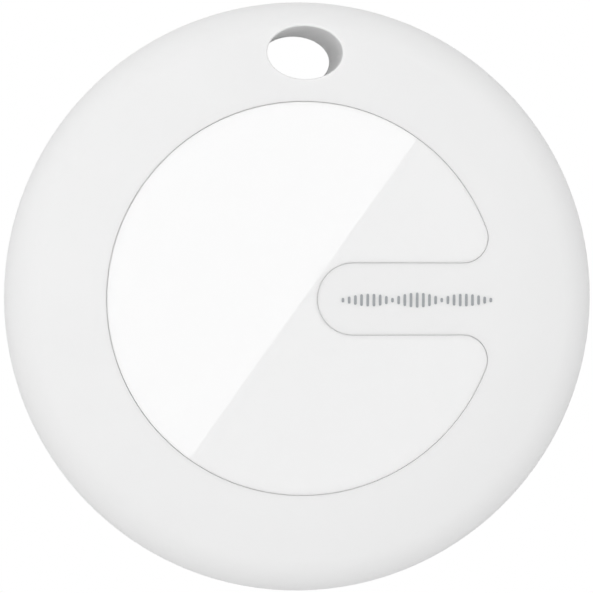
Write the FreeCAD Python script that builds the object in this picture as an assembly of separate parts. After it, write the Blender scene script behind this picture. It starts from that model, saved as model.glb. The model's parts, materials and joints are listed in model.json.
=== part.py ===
import FreeCAD, Part
import math
import os

# Bluetooth tracker tag: a round pebble-shaped case with an oval keyring hole, a glossy C-shaped
# press panel round a fixed tongue, and a coin-slot battery door at the back.
# Millimetres. +Z is out of the face, +Y points to the keyring hole, +X to the root of the tongue.
# The origin is the centre of the flat back, which the tag rests on.

V = FreeCAD.Vector
PAST = 1.0                   # how far a cutting tool runs past the face that it cuts
NEAR = 0.01                  # what counts as the same place when an edge is looked for
LEVEL = 1e-4                 # how far from level a level edge may be
ON_OVAL = 1e-3               # share of the oval's size that a point on its wall may be off by

# ---------------------------------------------------------------- driving dimensions
# Coin cell, a standard size
cell_diameter = 20.0
cell_height = 3.2
cell_wall = 0.25
cell_step = 0.15             # its cap stands this much above the can
cell_corner = 0.4
cell_curl = 0.5              # of the can's mouth over the seal
cathode_share = 0.64         # of the filling's height
separator_share = 0.08
cell_lining_share = 0.8      # of the wall, the thickness of the seal that lines the can
cell_side_room = 0.3

# Holder that centres the cell, and the contacts on its side and its cap
rib_gap = 0.1                # between the cell and each rib
rib_drop = 0.3               # of a rib's top below the cell's
rib_angle = 5.0
rib_places = (60.0, 120.0, 240.0, 300.0)
side_contact_width = 2.6
leaf_sheet = 0.15
leaf_lean = 0.15             # the leaf stands off the cell by this above the spot where it touches
leaf_toe_lean = 0.12         # and by this below it
leaf_drops = (1.45, 1.0, 0.5)  # of its toe, touching spot and upper bend below the cell's top
leaf_foot_reach = 1.7        # of its soldered foot, out under the board
contact_window_width = 3.4
hub_radius = 2.0
finger_width = 1.3
finger_reach = 7.4
finger_tip = 0.8             # length of the turned-up end
finger_tip_rise = 0.07
finger_root_share = 0.75     # of the hub's radius, where a finger starts
finger_places = (45.0, 165.0, 285.0)
contact_touch_gap = 0.02

# Battery door, which closes with a short turn
door_recess = 0.1            # it sits this much inside the resting plane
door_flange_thickness = 1.0
door_floor = 1.1
door_skirt_wall = 0.7
door_flange_reach = 1.1      # the flange reaches this far beyond the skirt
door_gap = 0.1
door_twist = 30.0            # degrees from locked to open
lug_count = 3
first_lug_angle = 90.0
lug_angle = 26.0             # degrees that each lug covers
lug_reach = 0.75
lug_side_room = 2.0          # degrees between each side of a lug and its notch
lug_height = 0.6
lug_clearance = 0.05
ledge_height = 0.7
ledge_bore_gap = 0.2
well_wall = 0.8
seal_section = 0.46
seal_clearance = 0.03
seal_groove_room = 0.02
coin_diameter = 24.0
coin_slot_width = 1.8
coin_slot_depth = 0.7
mark_depth = 0.15
mark_dot_radius = 0.45
mark_ring_share = 0.3        # of the dot's radius, half the width of the ring's line
locked_angle = -90.0         # where the marks for locked stand
arrow_line_width = 0.36
arrow_head_width = 1.4
arrow_head_length = 9.0      # degrees round the door
arrow_sweep = 40.0
arrow_starts = (60.0, 240.0)
arrow_radius_share = 0.72    # of the door's radius

# Face panel, and the tongue that it goes round
panel_diameter = 25.0
panel_thickness = 1.0
panel_gap = 0.025            # all round the rim, a running fit
panel_corner_radius = 1.6
panel_edge_radius = 0.01
tongue_width = 4.6
tongue_gap = 0.012
tongue_tip_x = 0.81
flange_reach = 0.42          # how far the panel's hidden flange goes under the shell
flange_thickness = 0.45
flange_width = 1.6
foam_width = 0.75            # of the foam ring under the flange
foam_inset = 0.1             # from the flange's outer edge
press_travel = 0.2           # of the panel, the plunger and the dome

# Keyring hole, an oval through both shells
hole_half_width = 2.4
hole_half_height = 1.69
hole_rim_radius = 0.1
collar_wall = 0.7
collar_room = 0.205          # between the collar and what is inside it
rim_width = 1.715            # of the case, outside the hole

# Case
component_room = 1.7         # between the board and the underside of the panel
edge_radius = 2.5            # tight rounding of the front edge
face_fall = 7.5              # degrees the face has tilted where the tight rounding begins
panel_flat_margin = 0.35     # the face stays flat this far outside the panel
back_radius = 1.8            # rounding of the back edge
ring_ceiling_drop = 0.1      # the ceiling of the outer ring is this much lower than the panel's
side_wall = 1.3
floor_wall = 1.0
parting_height = 3.4         # the two shells meet here
lip_wall = 0.6
lip_height = 1.1
lip_gap = 0.08
bead_depth = 0.14
bead_half_height = 0.28
bead_count = 6
bead_angle = 24.0
gasket_width = 0.55
gasket_depth = 0.4
tongue_rib_width = 1.0
tongue_rib_root = 0.1        # how far it reaches up into the tongue

# Circuit board, its screws and what stands on it
board_thickness = 0.6
board_edge_room = 0.4
contact_room = 0.25          # between the cell's cap and the board
board_screw_inset = 1.72     # from the board's edge
board_screw_angles = (30.0, 150.0, 270.0)
screw_shaft_radius = 0.6
screw_head_radius = 1.1
screw_head_height = 0.55
screw_head_round = 0.2
screw_length = 1.6
screw_recess_length = 1.2    # of each slot of its cross recess
screw_recess_width = 0.28
screw_recess_depth = 0.3
screw_bore_gap = 0.02
boss_radius = 1.35
fit_gap = 0.05

switch_x = -3.6
switch_y = -2.4
switch_side = 3.0
switch_body_height = 0.82
switch_bore = 1.15
switch_floor = 0.26
switch_cover_thickness = 0.12
switch_corner = 0.35
switch_ear_width = 1.2
switch_ear_lift = 0.2        # of the cover's ears above the board
dome_spare_rise = 0.1        # what is left of the dome's height at full travel
dome_sheet = 0.06
plunger_radius = 0.6
plunger_collar_radius = 0.95
plunger_height = 0.45        # of the stem above its collar
plunger_edge_radius = 0.1
pad_radius = 1.3
pad_gap = 0.03

sounder_x = -4.6
sounder_y = 4.6
sounder_plate_radius = 4.7
sounder_ceramic_radius = 3.4
sounder_sheet = 0.2
sounder_adhesive_sheet = 0.08
sounder_adhesive_inset = 0.2
spring_sheet = 0.1
spring_width = 0.9
spring_foot_back = 0.9       # how far the soldered foot reaches either way from the middle
spring_foot_front = 0.7
spring_knee_front = 0.95     # where the spring bends back over its foot
spring_knee_share = 0.45     # of its height
spring_arm_back = 0.2        # where its arm turns level, behind the middle
spring_arm_end = 0.7
ceramic_spring_x = 0.4       # each spring's middle, beside the spot that it serves
plate_spring_x = 0.25
touch_gap = 0.03             # between a spring or soft part and the moving piece that it bears on

antenna_inset = 0.7          # from the board's edge
antenna_lift = 0.55
antenna_headroom = 0.3
antenna_middle = 205.0       # degrees round the board
antenna_sweep = 62.0
antenna_foot_angle = 4.0
antenna_foot_places = (178.0, 188.0)

# Chips, crystals and the small parts round them
chip_x = 5.0
chip_y = -6.0
chip_side = 5.0
chip_height = 0.85
chip_dot_radius = 0.25
chip_dot_depth = 0.05
chip_dot_inset = 0.7         # of the dot's middle from two sides of the chip
sensor_x = 6.4
sensor_y = 6.2
sensor_side = 2.0
sensor_height = 0.8
main_crystal_x = 5.4
main_crystal_y = -2.2
main_crystal_size = (2.0, 1.6, 0.5)
clock_crystal_x = 0.6
clock_crystal_y = -9.6
clock_crystal_size = (3.2, 1.5, 0.75)
package_edge = 0.08          # chamfer round the top of a chip or a crystal
small_part_edge = 0.04
small_part_pitch = 1.2       # between neighbours in a row
capacitor_size = (1.0, 0.5, 0.5)
resistor_size = (1.0, 0.5, 0.35)
inductor_size = (1.6, 0.8, 0.8)

# ---------------------------------------------------------------- worked out from them
cell_radius = cell_diameter / 2
skirt_inner_radius = cell_radius + cell_side_room
skirt_outer_radius = skirt_inner_radius + door_skirt_wall
door_radius = skirt_outer_radius + door_flange_reach
well_inner_radius = door_radius + door_gap
well_outer_radius = well_inner_radius + well_wall
ledge_bore = skirt_outer_radius + ledge_bore_gap
lug_radius = skirt_outer_radius + lug_reach
seal_radius = well_inner_radius - seal_clearance - seal_section / 2
seal_height = door_recess + door_flange_thickness / 2

panel_radius = panel_diameter / 2
flange_radius = panel_radius - panel_gap / 2 + flange_reach
tongue_half = tongue_width / 2
tongue_tip_centre_x = tongue_tip_x + tongue_half

collar_inside = max(well_outer_radius, flange_radius) + collar_room
hole_centre_y = collar_inside + collar_wall + hole_half_height
case_radius = hole_centre_y + hole_half_height + rim_width
flat_radius = panel_radius + panel_flat_margin
inner_radius = case_radius - side_wall
lip_outer_radius = inner_radius - lip_gap
lip_inner_radius = lip_outer_radius - lip_wall
gasket_inner_radius = inner_radius + (side_wall - gasket_width) / 2
board_radius = lip_inner_radius - board_edge_room
board_screw_radius = board_radius - board_screw_inset

door_flange_top = door_recess + door_flange_thickness
door_floor_top = door_recess + door_floor
ledge_bottom = door_flange_top + door_gap
ledge_top = ledge_bottom + ledge_height
lug_bottom = ledge_top + lug_clearance
lug_top = lug_bottom + lug_height
skirt_top = lug_top + lug_clearance
holder_bottom = skirt_top + 2 * fit_gap

cell_bottom = door_floor_top + fit_gap
cell_top = cell_bottom + cell_height
can_top = cell_top - cell_step
can_inner_radius = cell_radius - cell_wall
cell_lining = cell_lining_share * cell_wall
board_bottom = cell_top + contact_room
board_top = board_bottom + board_thickness
panel_underside = board_top + component_room
case_thickness = panel_underside + panel_thickness
face_ceiling = panel_underside
ring_ceiling = face_ceiling - ring_ceiling_drop
flange_top = face_ceiling - fit_gap
flange_bottom = flange_top - flange_thickness
lip_top = parting_height + lip_height
bead_height = parting_height + lip_height / 2

switch_body_top = board_top + switch_body_height
dome_base = board_top + switch_floor
dome_rise = press_travel + dome_spare_rise
plunger_collar_bottom = dome_base + dome_rise + touch_gap
plunger_collar_top = switch_body_top - fit_gap / 2
plunger_top = plunger_collar_top + plunger_height
sounder_plate_top = panel_underside - sounder_adhesive_sheet
sounder_plate_bottom = sounder_plate_top - sounder_sheet
sounder_ceramic_bottom = sounder_plate_bottom - sounder_sheet


# ---------------------------------------------------------------- helpers
def polar(radius, degrees, z=0.0):
    a = math.radians(degrees)
    return V(radius * math.cos(a), radius * math.sin(a), z)


def disc(radius, z0, z1, x=0.0, y=0.0):
    return Part.makeCylinder(radius, z1 - z0, V(x, y, z0))


def tube(inner, outer, z0, z1, x=0.0, y=0.0):
    return disc(outer, z0, z1, x, y).cut(disc(inner, z0 - PAST, z1 + PAST, x, y))


def block(x, y, z0, width, depth, height):
    """A box with its middle at x, y and its bottom at z0."""
    return Part.makeBox(width, depth, height, V(x - width / 2, y - depth / 2, z0))


def sector(inner, outer, z0, z1, middle, span):
    """A piece of a ring, span degrees wide about the angle middle."""
    start = middle - span / 2
    end = middle + span / 2
    edges = [
        Part.makeLine(polar(inner, start, z0), polar(outer, start, z0)),
        Part.Arc(polar(outer, start, z0), polar(outer, middle, z0), polar(outer, end, z0)).toShape(),
        Part.makeLine(polar(outer, end, z0), polar(inner, end, z0)),
        Part.Arc(polar(inner, end, z0), polar(inner, middle, z0), polar(inner, start, z0)).toShape(),
    ]
    return Part.Face(Part.Wire(edges)).extrude(V(0, 0, z1 - z0))


def oval(grow, z0, z1):
    """The keyring hole's oval, grown all round by grow."""
    ellipse = Part.Ellipse(V(0, 0, 0), hole_half_width + grow, hole_half_height + grow)
    prism = Part.Face(Part.Wire([ellipse.toShape()])).extrude(V(0, 0, z1 - z0))
    prism.translate(V(0, hole_centre_y, z0))
    return prism


def turned(outline):
    """A solid of revolution about Z from a closed outline of (radius, height) steps.
    A step of four numbers is an arc: a point on the way, then the end point."""
    first = V(outline[0][0], 0, outline[0][1])
    here = first
    edges = []
    for step in outline[1:]:
        end = V(step[-2], 0, step[-1])
        if len(step) == 4:
            edges.append(Part.Arc(here, V(step[0], 0, step[1]), end).toShape())
        else:
            edges.append(Part.makeLine(here, end))
        here = end
    edges.append(Part.makeLine(here, first))
    return Part.Face(Part.Wire(edges)).revolve(V(0, 0, 0), V(0, 0, 1), 360)


def arc_step(cx, cz, radius, start, end):
    """The step of an outline that follows a circle from one angle to another, in degrees."""
    middle = math.radians((start + end) / 2)
    last = math.radians(end)
    return (
        cx + radius * math.cos(middle),
        cz + radius * math.sin(middle),
        cx + radius * math.cos(last),
        cz + radius * math.sin(last),
    )


def fused(first, others):
    return first.multiFuse(others).removeSplitter()


def strip(path, width, thickness):
    """Sheet metal bent along (x, z) points and centred on y = 0, thickness to the left of the path."""
    runs = [V(b[0] - a[0], 0, b[1] - a[1]).normalize() for a, b in zip(path, path[1:])]
    sides = [V(-run.z, 0, run.x) for run in runs]
    left = []
    for i, point in enumerate(path):
        before = sides[max(i - 1, 0)]
        after = sides[min(i, len(sides) - 1)]
        lean = (before + after).normalize()
        left.append(V(point[0], 0, point[1]) + lean * (thickness / lean.dot(after)))
    outline = [V(x, 0, z) for x, z in path] + left[::-1]
    bar = Part.Face(Part.makePolygon(outline + outline[:1])).extrude(V(0, width, 0))
    bar.translate(V(0, -width / 2, 0))
    return bar


def placed(shape, x, y, degrees=0.0):
    shape.rotate(V(0, 0, 0), V(0, 0, 1), degrees)
    shape.translate(V(x, y, 0))
    return shape


def edge_middle(edge):
    return edge.valueAt((edge.FirstParameter + edge.LastParameter) / 2)


def edges_at(shape, height, farthest=math.inf):
    """Edges that lie wholly at one height, with their middles no farther than this from the axis."""
    found = []
    for edge in shape.Edges:
        box = edge.BoundBox
        level = abs(box.ZMin - height) < LEVEL and abs(box.ZMax - height) < LEVEL
        middle = edge_middle(edge)
        if level and math.hypot(middle.x, middle.y) <= farthest:
            found.append(edge)
    return found


def upright_edges(shape, tallest):
    return [edge for edge in shape.Edges if edge.BoundBox.ZLength > tallest / 2]


def hole_edges(shape, low, high):
    """Edges between two heights where the keyring hole's wall meets the outside."""
    found = []
    for edge in shape.Edges:
        span = edge.LastParameter - edge.FirstParameter
        points = [edge.valueAt(edge.FirstParameter + share * span) for share in (0.1, 0.4, 0.7)]
        scaled = [math.hypot(p.x / hole_half_width, (p.y - hole_centre_y) / hole_half_height) for p in points]
        on_wall = all(abs(value - 1) < ON_OVAL for value in scaled)
        box = edge.BoundBox
        if on_wall and box.ZLength < high - low and low <= box.ZMin and box.ZMax <= high + LEVEL:
            found.append(edge)
    return found


def board_screw_places():
    return [polar(board_screw_radius, angle) for angle in board_screw_angles]


def lug_angles(offset=0.0):
    return [first_lug_angle + offset + i * 360.0 / lug_count for i in range(lug_count)]


# ---------------------------------------------------------------- outlines that pieces share
def envelope():
    """The whole pebble: flat back, rounded back edge, and a face that falls gently, then tightly."""
    tilt = math.radians(face_fall)
    fall_radius = case_radius - edge_radius * (1 - math.sin(tilt))
    dome = (fall_radius - flat_radius) / math.sin(tilt)
    fall_height = case_thickness - dome * (1 - math.cos(tilt))
    edge_centre = fall_height - edge_radius * math.cos(tilt)
    back_centre = case_radius - back_radius
    return turned(
        [
            (0, 0),
            (back_centre, 0),
            arc_step(back_centre, back_radius, back_radius, -90, 0),
            (case_radius, edge_centre),
            arc_step(case_radius - edge_radius, edge_centre, edge_radius, 0, 90 - face_fall),
            arc_step(flat_radius, case_thickness - dome, dome, 90 - face_fall, 90),
            (0, case_thickness),
        ]
    )


def panel_outline(radius, half, z0, z1):
    """A prism of the C shape between a circle and the tongue."""
    corner = panel_corner_radius
    corner_y = half + corner
    corner_x = math.sqrt((radius - corner) ** 2 - corner_y**2)
    turn = math.degrees(math.atan2(corner_y, corner_x))
    bend = math.radians((turn - 90) / 2)
    tip = tongue_tip_centre_x
    edges = []
    for side in (1, -1):
        on_bend = V(corner_x + corner * math.cos(bend), side * (corner_y + corner * math.sin(bend)), 0)
        edges.append(Part.makeLine(V(tip, side * half, 0), V(corner_x, side * half, 0)))
        edges.append(Part.Arc(V(corner_x, side * half, 0), on_bend, polar(radius, side * turn)).toShape())
    edges.append(Part.Arc(polar(radius, turn), V(-radius, 0, 0), polar(radius, -turn)).toShape())
    edges.append(Part.Arc(V(tip, half, 0), V(tip - half, 0, 0), V(tip, -half, 0)).toShape())
    prism = Part.Face(Part.Wire(Part.__sortEdges__(edges))).extrude(V(0, 0, z1 - z0))
    prism.translate(V(0, 0, z0))
    return prism


def bead_ring(proud):
    """A ridge with sloping flanks round the outside of the lip, standing proud of it."""
    inner = lip_outer_radius - lip_wall / 2
    outer = lip_outer_radius + proud
    half = bead_half_height
    return turned(
        [
            (inner, bead_height - half),
            (lip_outer_radius, bead_height - half),
            (outer, bead_height - half / 3),
            (outer, bead_height + half / 3),
            (lip_outer_radius, bead_height + half),
            (inner, bead_height + half),
        ]
    )


# ---------------------------------------------------------------- shells
def front_cavity():
    corner = edge_radius / 2
    step = flange_radius + 2 * collar_room
    return turned(
        [
            (0, parting_height - PAST),
            (inner_radius, parting_height - PAST),
            (inner_radius, ring_ceiling - corner),
            arc_step(inner_radius - corner, ring_ceiling - corner, corner, 0, 90),
            (step, ring_ceiling),
            (step - ring_ceiling_drop, face_ceiling),
            (0, face_ceiling),
        ]
    )


def tongue_rib():
    """A stiffening rib under the tongue."""
    start = tongue_tip_centre_x
    end = panel_radius - tongue_rib_width / 2
    height = panel_thickness
    length = end - start
    bottom = face_ceiling - height
    return block((start + end) / 2, 0, bottom, length, tongue_rib_width, height + tongue_rib_root)


def front_shell():
    above_parting = disc(case_radius + PAST, parting_height, case_thickness + PAST)
    body = envelope().common(above_parting).cut(front_cavity())
    opening_radius = panel_radius + panel_gap / 2
    opening = panel_outline(opening_radius, tongue_half - tongue_gap / 2, board_top, case_thickness + PAST)
    body = body.cut(opening)
    body = body.makeFillet(panel_edge_radius, edges_at(body, case_thickness, opening_radius + NEAR))

    rooted = ring_ceiling + side_wall / 4
    collar = oval(collar_wall, floor_wall, rooted).common(envelope())
    bosses = [disc(boss_radius, board_top, rooted, p.x, p.y) for p in board_screw_places()]
    body = fused(body, [tongue_rib(), collar, *bosses])
    for p in board_screw_places():
        body = body.cut(disc(screw_shaft_radius, board_top - PAST, board_bottom + screw_length, p.x, p.y))
    body = body.cut(oval(0, -PAST, case_thickness + PAST))
    body = body.makeFillet(hole_rim_radius, hole_edges(body, case_thickness - edge_radius, case_thickness))
    inside_wall = disc(lip_outer_radius, 0, case_thickness)
    groove = bead_ring(bead_depth + 2 * lip_gap).cut(inside_wall).cut(oval(collar_wall, 0, case_thickness))
    return body.cut(groove)


def rear_shell():
    corner = floor_wall * 0.8
    body = envelope().cut(disc(case_radius + PAST, parting_height, case_thickness + PAST))
    trough = turned(
        [
            (well_outer_radius, floor_wall),
            (lip_inner_radius - corner, floor_wall),
            arc_step(lip_inner_radius - corner, floor_wall + corner, corner, -90, 0),
            (lip_inner_radius, parting_height + PAST),
            (well_outer_radius, parting_height + PAST),
        ]
    )
    body = body.cut(trough).cut(disc(well_inner_radius, -PAST, case_thickness))
    lip = tube(lip_inner_radius, lip_outer_radius, parting_height - floor_wall / 2, lip_top)
    well = tube(well_inner_radius, well_outer_radius, floor_wall / 2, board_bottom - fit_gap)
    ledge = tube(ledge_bore, well_inner_radius + well_wall / 2, ledge_bottom, ledge_top)
    beads = [snap_bead(i * 360.0 / bead_count) for i in range(bead_count)]
    body = fused(body, [lip, well, ledge, *beads])
    notch_outer = lug_radius + 2 * fit_gap
    notch_span = lug_angle + lug_side_room
    for angle in lug_angles(-door_twist):
        body = body.cut(sector(skirt_outer_radius, notch_outer, ledge_bottom, ledge_top, angle, notch_span))
    seat = tube(gasket_inner_radius, gasket_inner_radius + gasket_width, gasket_bottom(), lip_top)
    body = body.cut(seat).cut(oval(0, -PAST, case_thickness))
    body = body.cut(oval(collar_wall + fit_gap, floor_wall, case_thickness))
    body = body.makeFillet(hole_rim_radius, hole_edges(body, -NEAR, NEAR))
    body = body.makeChamfer(mark_depth, edges_at(body, 0, well_inner_radius + NEAR))
    return body.cut(Part.makeCompound(rear_marks()))


def snap_bead(angle):
    room = sector(lip_inner_radius, inner_radius + PAST, parting_height, lip_top, angle, bead_angle)
    return bead_ring(bead_depth).common(room)


def rear_marks():
    """Shallow engraved marks beside the door: a dot for locked, and a ring for open."""
    radius = (well_inner_radius + case_radius - back_radius) / 2
    locked = polar(radius, locked_angle)
    unlocked = polar(radius, locked_angle - door_twist)
    dot = disc(mark_dot_radius, -PAST, mark_depth, locked.x, locked.y)
    half_line = mark_ring_share * mark_dot_radius
    inner = mark_dot_radius - half_line
    outer = mark_dot_radius + half_line
    ring = tube(inner, outer, -PAST, mark_depth, unlocked.x, unlocked.y)
    return [dot, ring]


def gasket_bottom():
    return parting_height - gasket_depth


def case_gasket():
    """The soft ring between the shells, pinched thinner where it passes the keyring hole's collar."""
    ring = tube(gasket_inner_radius, gasket_inner_radius + gasket_width, gasket_bottom(), parting_height)
    return ring.cut(oval(collar_wall + fit_gap, 0, case_thickness))


# ---------------------------------------------------------------- face panel, its seal and the sounder
def face_panel():
    radius = panel_radius - panel_gap / 2
    half = tongue_half + tongue_gap / 2
    plate = panel_outline(radius, half, flange_bottom, case_thickness)
    plate = plate.makeFillet(panel_edge_radius, edges_at(plate, case_thickness))
    flange = panel_outline(flange_radius, half - flange_reach, flange_bottom, flange_top)
    hollow_step = flange_width - flange_reach
    hollow = panel_outline(radius - hollow_step, half + hollow_step, flange_bottom - PAST, panel_underside)
    return fused(plate, [flange]).cut(hollow)


def button_gasket():
    """A foam ring that pushes the panel's flange up against the shell."""
    outer = flange_radius - foam_inset
    return tube(outer - foam_width, outer, board_top, flange_bottom - touch_gap)


def press_pad():
    return disc(pad_radius, plunger_top + pad_gap, panel_underside, switch_x, switch_y)


def sounder_adhesive():
    radius = sounder_plate_radius - sounder_adhesive_inset
    return disc(radius, sounder_plate_top, panel_underside, sounder_x, sounder_y)


def sounder_plate():
    return disc(sounder_plate_radius, sounder_plate_bottom, sounder_plate_top, sounder_x, sounder_y)


def sounder_ceramic():
    return disc(sounder_ceramic_radius, sounder_ceramic_bottom, sounder_plate_bottom, sounder_x, sounder_y)


def spring_finger(top):
    """A soldered foot, a rise, and an arm that bends back over the foot and touches at top."""
    knee = board_top + spring_knee_share * (top - board_top)
    arm = top - spring_sheet
    path = [
        (-spring_foot_back, board_top),
        (spring_foot_front, board_top),
        (spring_knee_front, knee),
        (-spring_arm_back, arm),
        (-spring_arm_end, arm),
    ]
    return strip(path, spring_width, spring_sheet)


def sounder_contacts():
    bare_edge = (sounder_ceramic_radius + sounder_plate_radius) / 2
    under_ceramic = spring_finger(sounder_ceramic_bottom - touch_gap)
    under_plate = spring_finger(sounder_plate_bottom - touch_gap)
    return Part.makeCompound(
        [
            placed(under_ceramic, sounder_x + ceramic_spring_x, sounder_y),
            placed(under_plate, sounder_x - bare_edge + plate_spring_x, sounder_y),
        ]
    )


# ---------------------------------------------------------------- battery door and its seal
def battery_door():
    flange = disc(door_radius, door_recess, door_flange_top)
    flange = flange.makeChamfer(mark_depth, edges_at(flange, door_recess))
    skirt = disc(skirt_outer_radius, door_floor_top - door_floor / 2, skirt_top)
    lug_inner = skirt_outer_radius - door_skirt_wall / 2
    lug_span = lug_angle - lug_side_room
    lugs = [sector(lug_inner, lug_radius, lug_bottom, lug_top, angle, lug_span) for angle in lug_angles()]
    body = fused(flange, [skirt, *lugs])
    body = body.cut(disc(skirt_inner_radius, door_floor_top, skirt_top + PAST))
    groove_half = seal_section / 2 + seal_groove_room
    groove_floor = seal_radius - groove_half
    groove = tube(groove_floor, door_radius + PAST, seal_height - groove_half, seal_height + groove_half)
    coin = Part.makeCylinder(
        coin_diameter / 2,
        coin_slot_width,
        V(0, -coin_slot_width / 2, door_recess + coin_slot_depth - coin_diameter / 2),
        V(0, 1, 0),
    )
    return body.cut(groove).cut(coin).cut(Part.makeCompound(door_marks()))


def door_seal():
    return Part.makeTorus(seal_radius, seal_section / 2, V(0, 0, seal_height))


def door_marks():
    """A pointer at the door's edge, and two curved arrows that show which way it opens."""
    depth = door_recess + mark_depth
    pointer = polar(door_radius - 2 * mark_dot_radius, locked_angle)
    marks = [disc(mark_dot_radius, -PAST, depth, pointer.x, pointer.y)]
    radius = arrow_radius_share * door_radius
    inner = radius - arrow_line_width / 2
    outer = radius + arrow_line_width / 2
    half_head = arrow_head_width / 2
    for start in arrow_starts:
        marks.append(sector(inner, outer, -PAST, depth, start + arrow_sweep / 2, arrow_sweep))
        tip = polar(radius, start - arrow_head_length)
        head = [polar(radius + half_head, start), polar(radius - half_head, start), tip]
        marks.append(Part.Face(Part.makePolygon(head + head[:1])).extrude(V(0, 0, depth)))
    return marks


# ---------------------------------------------------------------- coin cell, its holder and contacts
def battery_can():
    r = cell_radius
    corner = cell_corner
    curl = cell_curl
    return turned(
        [
            (0, cell_bottom),
            (r - corner, cell_bottom),
            arc_step(r - corner, cell_bottom + corner, corner, -90, 0),
            (r, can_top - curl),
            arc_step(r - curl, can_top - curl, curl, 0, 90),
            (can_inner_radius - curl, can_top),
            (can_inner_radius - curl, can_top - cell_wall),
            (can_inner_radius, can_top - cell_wall),
            (can_inner_radius, cell_bottom + cell_wall),
            (0, cell_bottom + cell_wall),
        ]
    )


def battery_gasket():
    outer = can_inner_radius
    throat = outer - cell_curl
    shelf = can_top - cell_wall
    return turned(
        [
            (outer - cell_lining, cell_bottom + cell_wall),
            (outer, cell_bottom + cell_wall),
            (outer, shelf),
            (throat, shelf),
            (throat, can_top),
            (throat - cell_lining, can_top),
            (throat - cell_lining, shelf - cell_lining),
            (outer - cell_lining, shelf - cell_lining),
        ]
    )


def battery_cap():
    rim = can_inner_radius - cell_lining
    throat = rim - cell_curl
    corner = cell_corner
    low = can_top - cell_wall - cell_lining
    return turned(
        [
            (0, cell_top),
            (throat - corner, cell_top),
            arc_step(throat - corner, cell_top - corner, corner, 90, 0),
            (throat, low),
            (rim, low),
            (rim, low - cell_wall),
            (throat - cell_wall, low - cell_wall),
            (throat - cell_wall, cell_top - cell_wall),
            (0, cell_top - cell_wall),
        ]
    )


def battery_filling(low_share, high_share):
    """A layer of the cell's filling, from one share of its height to another."""
    low = cell_bottom + cell_wall
    high = can_top - 2 * cell_wall - cell_lining
    radius = can_inner_radius - cell_lining - fit_gap
    return disc(radius, low + low_share * (high - low), low + high_share * (high - low))


def battery_cathode():
    return battery_filling(0, cathode_share)


def battery_separator():
    return battery_filling(cathode_share, cathode_share + separator_share)


def battery_anode():
    return battery_filling(cathode_share + separator_share, 1)


def battery_holder():
    outer = well_inner_radius - fit_gap
    inner = skirt_inner_radius
    ring = tube(inner, outer, holder_bottom, board_bottom)
    rib_inner = cell_radius + rib_gap
    rib_top = cell_top - rib_drop
    root = inner + rib_gap
    ribs = [sector(rib_inner, root, holder_bottom, rib_top, angle, rib_angle) for angle in rib_places]
    window = block(-(inner + outer) / 2, 0, 0, 2 * (outer - inner), contact_window_width, board_bottom + PAST)
    return fused(ring, ribs).cut(window)


def positive_contact():
    """A leaf beside the cell that bends out under the board, where it is soldered."""
    x = cell_radius + contact_touch_gap
    toe_drop, touch_drop, bend_drop = leaf_drops
    path = [
        (-(x + leaf_toe_lean), cell_top - toe_drop),
        (-x, cell_top - touch_drop),
        (-(x + leaf_lean), cell_top - bend_drop),
        (-(x + leaf_lean), board_bottom),
        (-(x + leaf_foot_reach), board_bottom),
    ]
    return strip(path, side_contact_width, leaf_sheet)


def negative_contact():
    """A soldered hub with three spring fingers that press on the cell's cap."""
    hub_bottom = board_bottom - spring_sheet
    touch = cell_top + contact_touch_gap
    hub = disc(hub_radius, hub_bottom, board_bottom)
    root = finger_root_share * hub_radius
    path = [(finger_reach, touch + finger_tip_rise), (finger_reach - finger_tip, touch), (root, hub_bottom)]
    fingers = []
    for angle in finger_places:
        finger = placed(strip(path, finger_width, -spring_sheet), 0, 0, angle)
        fingers.append(finger.common(disc(cell_radius, cell_top, board_bottom)))
    return fused(hub, fingers)


# ---------------------------------------------------------------- circuit board and its screws
def circuit_board():
    grow = collar_wall + collar_room
    throat_width = 2 * (hole_half_width + grow)
    throat = block(0, hole_centre_y + case_radius / 2, 0, throat_width, case_radius, case_thickness)
    board = disc(board_radius, board_bottom, board_top).cut(oval(grow, 0, case_thickness)).cut(throat)
    for p in board_screw_places():
        board = board.cut(disc(screw_shaft_radius + fit_gap, 0, case_thickness, p.x, p.y))
    return board


def board_screws():
    head_bottom = board_bottom - screw_head_height
    recess_top = head_bottom + screw_recess_depth
    screws = []
    for p in board_screw_places():
        head = disc(screw_head_radius, head_bottom, board_bottom, p.x, p.y)
        head = head.makeFillet(screw_head_round, edges_at(head, head_bottom))
        tip = board_bottom + screw_length - 2 * fit_gap
        shaft = disc(screw_shaft_radius - screw_bore_gap, board_bottom - screw_bore_gap, tip, p.x, p.y)
        long = screw_recess_length
        narrow = screw_recess_width
        cross = [block(p.x, p.y, 0, long, narrow, recess_top), block(p.x, p.y, 0, narrow, long, recess_top)]
        screws.append(fused(head, [shaft]).cut(Part.makeCompound(cross)))
    return Part.makeCompound(screws)


# ---------------------------------------------------------------- push switch under the panel
def switch_base():
    body = block(switch_x, switch_y, board_top, switch_side, switch_side, switch_body_height)
    body = body.makeFillet(switch_corner, upright_edges(body, switch_body_height))
    return body.cut(disc(switch_bore, dome_base, switch_body_top + PAST, switch_x, switch_y))


def switch_dome():
    """A thin domed disc of spring steel on the floor of the switch."""
    radius = switch_bore - fit_gap
    ball = (radius**2 + dome_rise**2) / (2 * dome_rise)
    centre = V(0, 0, dome_base + dome_rise - ball)
    skin = Part.makeSphere(ball, centre).cut(Part.makeSphere(ball - dome_sheet, centre))
    return placed(skin.common(disc(radius, dome_base, dome_base + dome_rise + PAST)), switch_x, switch_y)


def switch_plunger():
    collar = disc(plunger_collar_radius, plunger_collar_bottom, plunger_collar_top, switch_x, switch_y)
    stem = disc(plunger_radius, plunger_collar_bottom, plunger_top, switch_x, switch_y)
    stem = stem.makeFillet(plunger_edge_radius, edges_at(stem, plunger_top))
    return fused(collar, [stem])


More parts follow.
